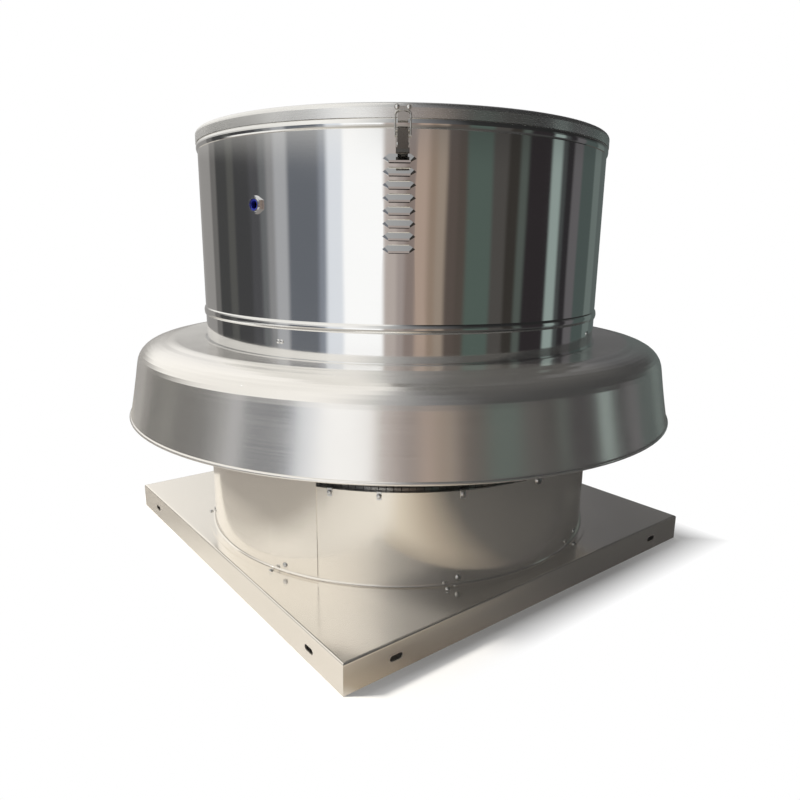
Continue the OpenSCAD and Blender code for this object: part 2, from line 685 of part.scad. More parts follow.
// Terminal box: its neck on the frame, its square body and its lid with a brim
box_w = 84;
box_z = motor_low + 34;
box_in = motor_r + 8;
box_out = motor_r + 50;
box_wall = 4;
box_lid = 6;
box_brim = 3;
box_entry_r = 10;
box_neck_w = 68;
box_neck_h = 56;
box_neck_sunk = 14;
module motor_frame() color("steelblue") difference() {
    union() {
        at_motor(motor_low) cylinder(r = motor_r, h = motor_h);
        at_motor(motor_low + 4) linear_extrude(motor_h - 8)
            for (k = [0:fin_count - 1]) let (a = 360 * k / fin_count)
            if (abs(a - 180) > 45 && abs(a - 90) > 32) rotate(a)
            translate([motor_r - 2, -fin_w / 2]) square([fin_out + 2, fin_w]);
        for (z = foot_pad_z) translate([bracket_x, -bracket_half_y + 2, z])
            cube([foot_pad_x, 2 * bracket_half_y - 4, foot_pad_h]);
        at_motor() translate([-box_neck_w / 2, motor_r - box_neck_sunk, box_z + (box_w - box_neck_h) / 2])
            cube([box_neck_w, box_in - motor_r + box_neck_sunk, box_neck_h]);
    }
    at_motor(motor_low - past) cylinder(r = motor_bore, h = motor_h + 2 * past);
    for (z = foot_pad_z, y = [-foot_bolt_y, foot_bolt_y])
        translate([0, y, 0]) radial_pin(bolt_r + 1 + seat_gap, bracket_x - past,
            bracket_x + foot_pad_x + past, z + foot_pad_h / 2);
}
module motor_top_shield() color("steelblue") at_motor() rotate_extrude() polygon(concat(
    [[shield_bore, motor_top - shield_spigot], [shield_seat, motor_top - shield_spigot],
        [shield_seat, motor_top], [motor_r, motor_top]],
    arc(motor_r - shield_bend, motor_top + 4, shield_bend, 0, 90, 4),
    [[shield_boss_r, motor_top + shield_h], [shield_boss_r - 4, shield_top], [shield_bore, shield_top]]
));
module motor_bottom_shield() color("steelblue") at_motor() rotate_extrude() polygon([
    [shield_bore, motor_low - shield_h + 4], [shield_boss_r - 2, motor_low - shield_h + 4],
    [motor_r, motor_low - shield_bend], [motor_r, motor_low], [shield_seat, motor_low],
    [shield_seat, motor_low + shield_spigot], [shield_bore, motor_low + shield_spigot]
]);
module motor_cowl() color("dimgray") at_motor() difference() {
    union() {
        ring(motor_r, cowl_r, motor_low - 5, motor_low + cowl_lip);
        spun(concat(
            [[cowl_r, motor_low + cowl_lip]],
            arc(cowl_r - cowl_bend, cowl_low + cowl_bend, cowl_bend, 0, -90, 4),
            [[cowl_eye_r, cowl_low]]
        ), -cowl_sheet);
    }
    for (k = [0:11], r = [24, 42, 60]) rotate([0, 0, 30 * k + r]) translate([r, 0, cowl_low - past])
        cylinder(r = cowl_hole_r, h = cowl_sheet + 2 * past);
}
module terminal_box() color("steelblue") at_motor() difference() {
    union() {
        translate([-box_w / 2, box_in, box_z]) cube([box_w, box_out - box_in, box_w]);
        translate([-box_w / 2 - box_brim, box_out, box_z - box_brim])
            cube([box_w + 2 * box_brim, box_lid, box_w + 2 * box_brim]);
    }
    translate([box_wall - box_w / 2, box_in + box_wall, box_z + box_wall])
        cube([box_w - 2 * box_wall, box_out - box_in - 2 * box_wall, box_w - 2 * box_wall]);
    translate([0, box_in + 20, box_z - past]) cylinder(r = box_entry_r, h = box_wall + 2 * past);
}
module motor_bolts() color("silver") for (z = foot_pad_z, y = [-foot_bolt_y, foot_bolt_y])
    translate([bracket_x + foot_pad_x, y, z + foot_pad_h / 2]) rotate([0, 90, 0])
    bolt_down(bolt_r + 1, foot_pad_x + bracket_sheet + 6);

// V-belt: two arcs round the pulleys and two straight runs, one section throughout
groove_half = 6.5;
groove_flank = 18;
groove_depth = 11;
belt_seat = 0.5;
belt_angle = acos((fan_pulley_r - motor_pulley_r) / drive_centres);
// Stations of the belt: centre of the arc, its radius and the angle on it, once round both pulleys
belt_steps = 40;
belt_stations = concat(
    [for (i = [0:belt_steps]) [0, fan_pulley_r, belt_angle + (360 - 2 * belt_angle) * i / belt_steps]],
    [for (i = [0:belt_steps]) [drive_centres, motor_pulley_r, belt_angle * (2 * i / belt_steps - 1)]]);
belt_back = belt_w / 2;
belt_face = belt_back - belt_t * tan(groove_flank);
belt_section = [[-belt_seat, -belt_back], [-belt_seat, belt_back], [-belt_seat - belt_t, belt_face],
    [-belt_seat - belt_t, -belt_face]];
belt_points = [for (s = belt_stations, q = belt_section)
    [s[0] + (s[1] + q[0]) * cos(s[2]), (s[1] + q[0]) * sin(s[2]), q[1]]];
module v_belt() color("black") translate([0, 0, belt_z]) {
    n = len(belt_stations);
    polyhedron(belt_points, [for (i = [0:n - 1], j = [0:3]) let (k = (i + 1) % n, m = (j + 1) % 4)
        [4 * i + j, 4 * i + m, 4 * k + m, 4 * k + j]]);
}
pulley_rim = 8;
pulley_hole_r = 13;
module pulley(r, bore, hub) difference() {
    rotate_extrude() union() {
        polygon([
            [r - groove_depth - pulley_rim, -pulley_w / 2], [r, -pulley_w / 2], [r, -groove_half],
            [r - groove_depth, groove_depth * tan(groove_flank) - groove_half],
            [r - groove_depth, groove_half - groove_depth * tan(groove_flank)],
            [r, groove_half], [r, pulley_w / 2], [r - groove_depth - pulley_rim, pulley_w / 2]
        ]);
        translate([bore, -5]) square([r - groove_depth - pulley_rim + past - bore, 10]);
        translate([bore, -pulley_w / 2]) square([hub - bore, pulley_w + 2]);
    }
    web = r - groove_depth - pulley_rim - hub;
    if (web > 2 * pulley_hole_r) around([36, 108, 180, 252, 324])
        translate([hub + web / 2, 0, -pulley_w]) cylinder(r = pulley_hole_r, h = 2 * pulley_w);
}
module fan_pulley() color("dimgray") translate([0, 0, belt_z])
    pulley(fan_pulley_r, shaft_r + key_gap, 2 * shaft_r + 1);
module motor_pulley() color("dimgray") translate([drive_centres, 0, belt_z])
    pulley(motor_pulley_r, motor_shaft_r + key_gap, motor_shaft_r + 11);

module fan_shaft() color("silver") rotate_extrude() polygon([
    [0, back_z - hub_low], [shaft_r - 2, back_z - hub_low], [shaft_r, back_z - hub_low + 2],
    [shaft_r, shaft_top - 2], [shaft_r - 2, shaft_top], [0, shaft_top]
]);
// Motor shaft with its rotor inside the frame and a thinner tail for the cooling fan
tail_r = motor_shaft_r - 3;
tail_z = cowl_low + 8;
rotor_r = motor_r - 30;
rotor_inset = 16;
module motor_shaft() color("silver") at_motor() rotate_extrude() polygon([
    [0, tail_z], [tail_r, tail_z], [tail_r, motor_low - shield_h], [motor_shaft_r, motor_low - shield_h],
    [motor_shaft_r, motor_low + rotor_inset], [rotor_r, motor_low + rotor_inset],
    [rotor_r, motor_top - rotor_inset], [motor_shaft_r, motor_top - rotor_inset],
    [motor_shaft_r, shaft_top - 2], [motor_shaft_r - 2, shaft_top], [0, shaft_top]
]);
cooler_z = cowl_low + 7;
cooler_hub_r = 24;
cooler_plate_r = 62;
cooler_blades = 7;
cooler_blade = [46, 2.5, 13];
module cooling_fan() color("black") at_motor() {
    ring(tail_r + key_gap, cooler_hub_r, cooler_z + 2, cooler_z + 12);
    ring(cooler_hub_r - 1, cooler_plate_r, cooler_z + 11, cooler_z + cooler_blade[2]);
    for (k = [0:cooler_blades - 1]) rotate([0, 0, 360 * k / cooler_blades])
        translate([cooler_hub_r - 1, -cooler_blade[1] / 2, cooler_z]) cube(cooler_blade);
}

// Point at radius r and angle a
function polar(r, a) = [r * cos(a), r * sin(a)];
blade_in = polar(neck_r + 8, 0);
blade_out = polar(wheel_r - 2, blade_sweep);
blade_mid = (blade_in + blade_out) / 2;
blade_half = norm(blade_out - blade_in) / 2;
blade_side = unit([blade_out[1] - blade_in[1], blade_in[0] - blade_out[0]]);
blade_centre = blade_mid - blade_side * sqrt(pow(blade_curve, 2) - pow(blade_half, 2));
ring_path = concat([[neck_r, neck_z]],
    curve([neck_r, neck_z + 8], [neck_r + 3, neck_z + 30], [wheel_r, neck_z + 46], 9));
hub_bolt_r = 50;
hub_bolt_angles = [0, 60, 120, 180, 240, 300];
module wheel_back_plate() color("lightgray") difference() {
    ring(hub_boss_r + 0.5, wheel_r + 2, back_z, back_z + wheel_sheet);
    around(hub_bolt_angles) translate([hub_bolt_r, 0, back_z - past])
        cylinder(r = bolt_r + seat_gap, h = wheel_sheet + 2 * past);
}
module wheel_inlet_ring() color("lightgray") spun(ring_path, wheel_sheet);
// Backward-inclined blades, trimmed to the inlet ring below and the back plate above
module wheel_blades() color("lightgray") for (k = [0:blade_count - 1]) rotate([0, 0, 360 * k / blade_count])
    intersection() {
        translate([0, 0, neck_z]) linear_extrude(back_z - neck_z) intersection() {
            difference() {
                translate(blade_centre) circle(r = blade_curve + blade_sheet / 2, $fn = 180);
                translate(blade_centre) circle(r = blade_curve - blade_sheet / 2, $fn = 180);
            }
            difference() {
                circle(r = wheel_r - 1);
                circle(r = neck_r + 8);
            }
            polygon([[0, 0], polar(2 * wheel_r, -12), polar(2 * wheel_r, blade_sweep + 12)]);
        }
        rotate_extrude() polygon(concat([[neck_r + 4, back_z]],
            [for (p = ring_path) if (p[0] > neck_r + 4) p], [[wheel_r, back_z]]));
    }
module fan_hub() color("dimgray") difference() {
    rotate_extrude() polygon([
        [shaft_r + key_gap, back_z - hub_low + 6], [hub_boss_r - 4, back_z - hub_low + 6],
        [hub_boss_r, back_z - hub_low + 10], [hub_boss_r, back_z + wheel_sheet],
        [hub_flange_r, back_z + wheel_sheet], [hub_flange_r, hub_top - 2],
        [hub_flange_r - 2, hub_top], [shaft_r + key_gap, hub_top]
    ]);
    around(hub_bolt_angles) translate([hub_bolt_r, 0, back_z])
        cylinder(r = bolt_r + seat_gap, h = hub_flange + wheel_sheet + past);
}
module hub_bolts() color("silver") around(hub_bolt_angles) translate([hub_bolt_r, 0, hub_top]) {
    bolt_down(bolt_r, hub_flange + wheel_sheet + 9);
    translate([0, 0, -hub_flange - wheel_sheet - nut_h]) hex_prism(nut_af, nut_h);
}

// A louvre hood points out of the cover and opens downwards
louvre_top = cover_top - louvre_drop;
louvre_turn = -0.6;
hood_up = 6.5;
hood_down = 6;
hood_sheet = 1.2;
hood_taper = 9;
hood_tip = -0.5;
module hood(out, half, up, down, inside) intersection() {
    rotate([90, 0, 0]) linear_extrude(2 * half, center = true) polygon([
        [inside, up], [cover_r - 0.2, up], [cover_r + out, 3 - down],
        [cover_r + out, -down], [inside, -down]
    ]);
    translate([0, 0, -20]) linear_extrude(40) polygon([
        [inside - 1, -half], [cover_r, -half], [cover_r + out + 0.1, hood_taper - half],
        [cover_r + out + 0.1, half - hood_taper], [cover_r, half], [inside - 1, half]
    ]);
    facing(inside - past, out + cover_sheet + 3 * past) polygon([
        [-half, hood_tip], [hood_taper - half, -down], [half - hood_taper, -down], [half, hood_tip],
        [half - hood_taper, up], [hood_taper - half, up]
    ]);
}
module at_louvres() around([for (k = [0:3]) front + louvre_turn + quarter * k])
    for (i = [0:louvre_count - 1]) translate([0, 0, louvre_top - louvre_pitch * i]) children();

hem_gap = 0.2;
hem_h = 13;
hem_z = collar_top - hem_h;
gland_angle = -35.4;
gland_drop = 130;
gland_z = cover_top - gland_drop;
gland_hole_r = 11.2;
base_rivet_y = 6;
base_rivet_z = cover_top - 46;
module cover() color("silver") difference() {
    union() {
        rotate_extrude() polygon(concat(
            [[cover_r + hem_gap, hem_z]],
            curve([cover_r + hem_gap + 1.6, hem_z], [cover_r + hem_gap + bead_out + 1.4, hem_z + hem_h / 2],
                [cover_r + hem_gap + 1.6, collar_top], 6),
            [[cover_r, collar_top + 2], [cover_r, bead_top - bead_h]],
            curve([cover_r + 1.4, bead_top - bead_h + 1],
                [cover_r + 2 * bead_out - 1.4, bead_top - bead_h / 2], [cover_r + 1.4, bead_top], 6),
            [[cover_r, bead_top], [cover_r, cover_top], [wall_r, cover_top], [wall_r, collar_top],
                [cover_r + hem_gap, collar_top]]
        ));
        at_louvres() hood(louvre_out, louvre_w / 2, hood_up, hood_down, wall_r + 0.5);
    }
    at_louvres()
        hood(louvre_out - hood_sheet, louvre_w / 2 - hood_sheet, hood_up - 1.6,
            hood_down + past, wall_r - past);
    rotate([0, 0, front + gland_angle]) radial_pin(gland_hole_r, wall_r - past, cover_r + past, gland_z);
    around([for (k = [0:3]) front + quarter * k]) for (s = [-1, 1]) translate([0, s * base_rivet_y, 0])
        radial_pin(rivet_r + seat_gap, wall_r - past, cover_r + past, base_rivet_z);
}

// Cable gland through the cover's wall
gland_af = 25;
gland_seat = cover_r + 0.05;
gland_flange = 2.5;
gland_nut_l = 4.5;
gland_bore = 6.5;
gland_cap_bore = 9.2;
gland_shank = 10;
locknut_h = 5;
seal_recess = 1.5;
module at_gland() rotate([0, 0, front + gland_angle])
    translate([gland_seat, 0, gland_z]) rotate([0, 90, 0]) children();
module gland_body() color("silver") at_gland() difference() {
    union() {
        hex_prism(gland_af, gland_flange);
        translate([0, 0, -cover_sheet - gland_shank])
            cylinder(r = gland_hole_r - 0.2, h = cover_sheet + gland_shank + past);
    }
    translate([0, 0, -cover_sheet - gland_shank - past])
        cylinder(r = gland_cap_bore, h = gland_flange + cover_sheet + gland_shank + 3 * past);
}
module gland_nut() color("silver") at_gland() translate([0, 0, gland_flange]) difference() {
    union() {
        hex_prism(gland_af - 1, gland_nut_l - 2);
        cylinder(r = (gland_af - 3) / 2, h = gland_nut_l);
    }
    translate([0, 0, -past]) cylinder(r = gland_cap_bore, h = gland_nut_l + 2 * past);
}
module gland_seal() color("navy") at_gland() ring(gland_bore, gland_cap_bore - 0.05, -2,
    gland_flange + gland_nut_l - seal_recess);
module gland_locknut() color("silver") at_gland()
    translate([0, 0, -cover_sheet - 0.6 - locknut_h]) difference() {
        hex_prism(gland_af + 3, locknut_h);
        translate([0, 0, -past]) cylinder(r = gland_hole_r - 0.15, h = locknut_h + 2 * past);
    }

module cap() color("silver") difference() {
    spun(concat(
        [for (i = [0:8]) let (t = i / 8) [(cap_r - cap_shoulder) * t, cap_edge + cap_crown * (1 - t * t)]],
        arc(cap_r - cap_shoulder, cap_edge - cap_shoulder, cap_shoulder, 75, 0, 5),
        [[cap_r, cap_low]]
    ), cap_sheet);
    around([for (k = [0:3]) front + quarter * k]) for (s = [-1, 1]) translate([0, s * catch_rivet_y, 0])
        radial_pin(rivet_r + seat_gap, cap_r - cap_sheet - past, cap_r + past, catch_rivet_z);
}

// Catches: a plate with two riveted lobes, whose pressed tongue bulges out below the bail's bar
catch_lobe = 4.4;
catch_sheet = 1.2;
catch_rivet_y = 8.5;
catch_plate_z = cap_low + 7.5;
catch_rivet_z = catch_plate_z + 6.5;
tongue_w = 15;
tongue_drop = 14;
tongue_out = 4.8;
tongue_lip = 0.5;
tongue_round = 7;
module at_latches() around([for (k = [0:3]) front + quarter * k]) children();
module catch_outline() {
    for (s = [-1, 1]) translate([s * catch_rivet_y, catch_rivet_z]) circle(r = catch_lobe, $fn = 32);
    polygon([
        [-catch_rivet_y - catch_lobe + 1, catch_rivet_z - 1.5], [-tongue_w / 2, catch_plate_z + 1],
        [-tongue_w / 2, catch_plate_z - 6.5], [tongue_w / 2, catch_plate_z - 6.5],
        [tongue_w / 2, catch_plate_z + 1], [catch_rivet_y + catch_lobe - 1, catch_rivet_z - 1.5],
        [catch_rivet_y, catch_rivet_z + 1.5], [-catch_rivet_y, catch_rivet_z + 1.5]
    ]);
}
// Tongue from the cap outwards, less its sheet at each side and end when wall is the sheet
module tongue(wall) intersection() {
    out = cap_r + tongue_out - wall;
    top = catch_plate_z - wall;
    low = catch_plate_z - tongue_drop + wall;
    back = cap_r + seat_gap - 2 * wall;
    lip = top + (wall > 0 ? 0 : tongue_lip);
    rotate([90, 0, 0]) linear_extrude(tongue_w - 2 * wall, center = true) polygon([
        [back, top], [back, low], [out - 2, low], [out, low + 2],
        [out, lip], [out - 0.6, lip], [out - 1.4, top]
    ]);
    facing(cap_r - 2 * wall - past, tongue_out + 4) translate([0, low])
        polygon(tray(tongue_w - 2 * wall, top - low + tongue_lip, tongue_round - wall));
}
module catches() color("silver") at_latches() difference() {
    union() {
        facing(cap_r, catch_sheet) catch_outline();
        tongue(0);
    }
    tongue(catch_sheet);
    for (s = [-1, 1]) translate([0, s * catch_rivet_y, 0])
        radial_pin(rivet_r + seat_gap, cap_r - past, cap_r + catch_sheet + past, catch_rivet_z);
}
module catch_rivets() color("silver") at_latches() for (s = [-1, 1]) translate([0, s * catch_rivet_y, 0])
    radial_screw(cap_r + catch_sheet, catch_rivet_z, rivet_r, 3, 1.4, cap_sheet + catch_sheet + 1.5);

// Latch places in the plane of the lever: radius and height of the two pivots
pivot_out = 5.6;
pivot_drop = 28;
bail_back = 0.6;
pivot_u = cover_r + pivot_out;
pivot_z = cover_top - pivot_drop;
bail_u = pivot_u - bail_back;
bail_z = pivot_z - sqrt(pow(latch_throw, 2) - pow(bail_back, 2));
base_sheet_t = 1.5;
base_w = 21;
ear_in = lever_w / 2 + 0.5;
ear_t = 1.2;
ear_r = 3;
bail_half = ear_in + ear_t + 0.7 + bail_wire / 2;
bar_u = cap_r + catch_sheet + bail_wire / 2 + 0.6;
bar_z = catch_plate_z + bail_wire / 2 + move_gap;
bail_l = norm([bar_u - bail_u, bar_z - bail_z]);
bail_lean = atan2(bar_u - bail_u, bar_z - bail_z);
bail_bend = 6;
module latch_bases() color("silver") at_latches() {
    difference() {
        translate([cover_r, -base_w / 2, base_rivet_z - 6])
            cube([base_sheet_t, base_w, pivot_z - base_rivet_z + 5]);
        for (s = [-1, 1]) translate([0, s * base_rivet_y, 0])
            radial_pin(rivet_r + seat_gap, cover_r - past, cover_r + base_sheet_t + past, base_rivet_z);
    }
    for (s = [-1, 1]) translate([0, s * (ear_in + ear_t / 2) + ear_t / 2, 0]) rotate([90, 0, 0])
        linear_extrude(ear_t) {
            translate([pivot_u, pivot_z]) circle(r = ear_r, $fn = 32);
            polygon([[cover_r + base_sheet_t - 0.5, pivot_z - 6], [pivot_u, pivot_z - ear_r + 0.3],
                [pivot_u, pivot_z + ear_r - 0.3], [cover_r + base_sheet_t - 0.5, pivot_z - 1.5]]);
        }
    translate([pivot_u, 0, pivot_z]) rotate([90, 0, 0])
        cylinder(d = latch_pin, h = 2 * (ear_in + ear_t + 0.4), center = true);
}
module latch_rivets() color("silver") at_latches() for (s = [-1, 1]) translate([0, s * base_rivet_y, 0])
    radial_screw(cover_r + base_sheet_t, base_rivet_z, rivet_r, 2.8, 1.1, cover_sheet + base_sheet_t + 1.5);

lever_sheet = 1.2;
lever_face = pivot_u + 2.7;
lip_out = 5.5;
lip_drop = 7;
lip_w = lever_w + 4.5;
lip_round = 3;
module lever(i) color("dimgray") rotate([0, 0, front + quarter * (i - 1)]) difference() {
    union() {
        rotate([90, 0, 0]) linear_extrude(lever_w, center = true) polygon(sheet_outline(
            [[lever_face, pivot_z + 1.5], [lever_face, pivot_z - lever_l]], -lever_sheet));
        intersection() {
            rotate([90, 0, 0]) linear_extrude(lip_w, center = true) polygon(sheet_outline(concat(
                [[lever_face, pivot_z - lever_l + 2]],
                curve([lever_face, pivot_z - lever_l], [lever_face + 0.5, pivot_z - lever_l - lip_drop + 1],
                    [lever_face + lip_out, pivot_z - lever_l - lip_drop], 5)
            ), -lever_sheet));
            facing(lever_face - past, lip_out + 3) translate([0, pivot_z - lever_l + 2]) mirror([0, 1, 0])
                polygon(tray(lip_w, lip_drop + 4, lip_round));
        }
        for (s = [-1, 1]) translate([0, s * (lever_w / 2 - ear_t / 2) + ear_t / 2, 0]) rotate([90, 0, 0])
            linear_extrude(ear_t) polygon([
                [lever_face + 0.3, pivot_z + 1.5], [pivot_u, pivot_z + 2.4], [pivot_u - 2.2, pivot_z + 1],
                [bail_u - 1.9, bail_z], [bail_u - 1.2, bail_z - 1.6], [bail_u + 0.6, bail_z - 2.2],
                [lever_face + 0.3, bail_z - 8]
            ]);
    }
    translate([pivot_u, 0, pivot_z]) rotate([90, 0, 0])
        cylinder(d = latch_pin + 2 * run_gap, h = 2 * lever_w, center = true);
    translate([bail_u, 0, bail_z]) rotate([90, 0, 0])
        cylinder(d = bail_wire + 2 * run_gap, h = 2 * lever_w, center = true);
}

// Bail: two wire legs, a bar over the catch, and two ends turned into the lever
module bail(i) color("silver") rotate([0, 0, front + quarter * (i - 1)])
    translate([bail_u, 0, bail_z]) rotate([0, bail_lean, 0]) {
        r = bail_wire / 2;
        for (s = [0, 1]) mirror([0, s, 0]) {
            translate([0, bail_half, 0]) cylinder(r = r, h = bail_l - bail_bend);
            translate([0, bail_half - bail_bend, bail_l - bail_bend]) rotate([0, -90, 0])
                rotate_extrude(angle = 90) translate([bail_bend, 0]) circle(r = r, $fn = 24);
            translate([0, lever_w / 2 - ear_t - 0.6, 0]) rotate([-90, 0, 0])
                cylinder(r = r, h = bail_half + r - lever_w / 2 + ear_t + 0.6);
        }
        translate([0, 0, bail_l]) rotate([90, 0, 0])
            cylinder(r = r, h = 2 * (bail_half - bail_bend), center = true);
    }

curb_cap();
drum();
drum_screws();
inlet_cone();
bird_screen();
screen_clips();
clip_screws();
support_legs();
leg_bolts();
shroud();
deck_plate();
collar();
collar_rivets();
isolators();
drive_base();
bearing_stand();
drive_bolts();
bearing_housings();
bearing_inserts();
bearing_bolts();
motor_bracket();
tension_bolt();
motor_frame();
motor_top_shield();
motor_bottom_shield();
motor_cowl();
terminal_box();
motor_bolts();
v_belt();
cover();
gland_body();
gland_nut();
gland_seal();
gland_locknut();
latch_bases();
latch_rivets();
fan_shaft();
fan_hub();
hub_bolts();
wheel_back_plate();
wheel_blades();
wheel_inlet_ring();
fan_pulley();
motor_shaft();
motor_pulley();
cooling_fan();
cap();
catches();
catch_rivets();
lever(1);  // lever_1
lever(2);  // lever_2
lever(3);  // lever_3
lever(4);  // lever_4
bail(1);  // bail_1
bail(2);  // bail_2
bail(3);  // bail_3
bail(4);  // bail_4
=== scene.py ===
"""Looks of a roof exhaust fan: sheet metal, drive, bird screen, studio and camera. Metres, Z up."""
import json
import math
import bmesh
import bpy
from mathutils import Matrix, Vector


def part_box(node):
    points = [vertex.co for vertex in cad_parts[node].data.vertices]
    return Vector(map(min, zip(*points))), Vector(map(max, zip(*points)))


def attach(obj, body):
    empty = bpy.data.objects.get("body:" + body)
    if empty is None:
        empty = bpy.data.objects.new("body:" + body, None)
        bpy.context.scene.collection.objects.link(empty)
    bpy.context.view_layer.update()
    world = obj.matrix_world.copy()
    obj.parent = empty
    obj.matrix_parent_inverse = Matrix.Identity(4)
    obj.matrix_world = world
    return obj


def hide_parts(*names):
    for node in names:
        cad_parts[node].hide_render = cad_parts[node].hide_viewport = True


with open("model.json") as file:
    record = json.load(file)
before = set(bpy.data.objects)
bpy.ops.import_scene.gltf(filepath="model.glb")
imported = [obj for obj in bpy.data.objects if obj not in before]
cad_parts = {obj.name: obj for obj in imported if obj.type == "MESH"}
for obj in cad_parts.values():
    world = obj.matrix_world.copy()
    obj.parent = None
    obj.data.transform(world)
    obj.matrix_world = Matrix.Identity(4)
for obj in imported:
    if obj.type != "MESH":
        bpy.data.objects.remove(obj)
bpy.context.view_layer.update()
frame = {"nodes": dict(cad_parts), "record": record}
NODES = frame["nodes"]
SCENE = bpy.context.scene
UP = Vector((0, 0, 1))
FULL_TURN = 2 * math.pi
WHITE = (1.0, 1.0, 1.0)

# Direction from the fan's axis to the photograph's camera
CAMERA_SIDE = math.radians(-128.12)


class Shader:
    """A material, or the world, with short calls that add nodes and return their outputs."""

    def __init__(self, owner):
        owner.use_nodes = True
        self.tree = owner.node_tree
        self.tree.nodes.clear()

    def node(self, kind, **values):
        made = self.tree.nodes.new(kind)
        for name, value in values.items():
            setattr(made, name, value)
        return made

    def put(self, socket, value):
        """Links an output to the socket, or sets a constant; None leaves the socket as it is."""
        if isinstance(value, bpy.types.NodeSocket):
            self.tree.links.new(value, socket)
        elif value is not None:
            socket.default_value = value

    def fill(self, made, *values):
        """Puts the values into a node's first inputs and returns its first output."""
        for socket, value in zip(made.inputs, values):
            self.put(socket, value)
        return made.outputs[0]

    def math(self, operation, a, b=None, c=None):
        return self.fill(self.node("ShaderNodeMath", operation=operation), a, b, c)

    def split(self, vector):
        made = self.node("ShaderNodeSeparateXYZ")
        self.put(made.inputs[0], vector)
        return made.outputs

    def join(self, x, y, z):
        return self.fill(self.node("ShaderNodeCombineXYZ"), x, y, z)

    def scaled(self, vector, scale):
        made = self.node("ShaderNodeMapping")
        self.put(made.inputs["Vector"], vector)
        made.inputs["Scale"].default_value = scale
        return made.outputs[0]

    def noise(self, vector, scale=1.0, detail=3.0, roughness=0.6, distortion=0.0):
        made = self.node("ShaderNodeTexNoise")
        self.put(made.inputs["Vector"], vector)
        made.inputs["Scale"].default_value = scale
        made.inputs["Detail"].default_value = detail
        made.inputs["Roughness"].default_value = roughness
        made.inputs["Distortion"].default_value = distortion
        return made.outputs[0]

    def span(self, value, low, high):
        """How far the value is from low to high, from 0 to 1 and no further."""
        return self.fill(self.node("ShaderNodeMapRange"), value, low, high, 0.0, 1.0)

    def ramp(self, value, stops):
        made = self.node("ShaderNodeValToRGB")
        self.put(made.inputs[0], value)
        elements = made.color_ramp.elements
        while len(elements) < len(stops):
            elements.new(0.5)
        for element, (place, colour) in zip(elements, stops):
            element.position = place
            element.color = (*colour, 1)
        return made.outputs[0]

    def mix(self, share, a, b):
        """Colour a where the share is 0 and colour b where it is 1."""
        made = self.node("ShaderNodeMix", data_type="RGBA")
        self.put(made.inputs[0], share)
        for socket, value in ((made.inputs[6], a), (made.inputs[7], b)):
            self.put(socket, (*value, 1) if isinstance(value, tuple) else value)
        return made.outputs[2]

    def blend(self, a, b, weight):
        """Two values added, the first with the weight and the second with what is left of 1."""
        return self.math("ADD", self.math("MULTIPLY", a, weight), self.math("MULTIPLY", b, 1 - weight))

    def bump(self, height, strength, distance, normal=None):
        made = self.node("ShaderNodeBump")
        made.inputs["Strength"].default_value = strength
        made.inputs["Distance"].default_value = distance
        self.put(made.inputs["Height"], height)
        self.put(made.inputs["Normal"], normal)
        return made.outputs[0]

    def rays(self):
        """Whether a ray comes from the camera, and whether a glossy or clear surface sends it."""
        path = self.node("ShaderNodeLightPath").outputs
        shiny = self.math("MAXIMUM", path["Is Glossy Ray"], path["Is Transmission Ray"])
        return path["Is Camera Ray"], shiny

    def surface(self, **values):
        made = self.node("ShaderNodeBsdfPrincipled")
        for name, value in values.items():
            self.put(made.inputs[name.replace("_", " ")], value)
        self.output(made.outputs[0], "ShaderNodeOutputMaterial")

    def output(self, shown, kind):
        self.tree.links.new(shown, self.node(kind).inputs[0])


def new_material(name):
    made = bpy.data.materials.new(name)
    return made, Shader(made)


def object_place(s):
    """Object coordinates in metres, which move with the piece."""
    return s.node("ShaderNodeTexCoord").outputs["Object"]


# Share of the patch noise where duller skin begins, and where it is full
DULL_FROM, DULL_TO = 0.42, 0.68


def sheet_metal(name, dark, light, rough, lines, line_bump, wave_bump,
                stretch=0.0, blotch=0.3, metallic=1.0):
    """Rolled or spun aluminium: fine lines round the axis, broad waves, and patches of duller skin.
    lines is the number of tool lines in a metre, and stretch the anisotropy along the height."""
    mat, s = new_material(name)
    place = object_place(s)
    x, y, z = s.split(place)
    radius = s.math("SQRT", s.math("ADD", s.math("MULTIPLY", x, x), s.math("MULTIPLY", y, y)))
    # A slow change round the axis, so that no line is the same all the way
    drift = s.math("MULTIPLY", s.math("ADD", x, y), 2.0)
    across = s.math("MULTIPLY_ADD", radius, lines, drift)
    along = s.math("MULTIPLY_ADD", z, lines, drift)
    line = s.noise(s.join(across, along, drift), detail=2.0)
    patch = s.noise(place, scale=5.0, detail=4.0, distortion=0.6)
    wave = s.noise(s.scaled(place, (1, 1, 0.35)), scale=7.0, detail=1.0, roughness=0.4)
    grain = s.noise(s.scaled(place, (1, 1, 0.08)), scale=140.0, detail=2.0, roughness=0.7)
    duller = s.math("MULTIPLY", s.span(patch, DULL_FROM, DULL_TO), blotch)
    # From 0.75 to 1.25 of the roughness, line by line
    lined_rough = s.math("MULTIPLY_ADD", line, rough * 0.5, rough * 0.75)
    waved = s.bump(wave, 1.0, wave_bump)
    lined = s.bump(line, 1.0, line_bump, waved)
    s.surface(
        Base_Color=s.mix(s.blend(line, patch, 0.5), dark, light),
        Metallic=metallic,
        Roughness=s.math("ADD", lined_rough, s.math("MULTIPLY", duller, rough)),
        Normal=s.bump(grain, 0.25, line_bump * 0.5, lined),
        Anisotropic=stretch,
        Anisotropic_Rotation=0.25,
        Tangent=s.node("ShaderNodeTangent", direction_type="RADIAL", axis="Z").outputs[0],
    )
    return mat


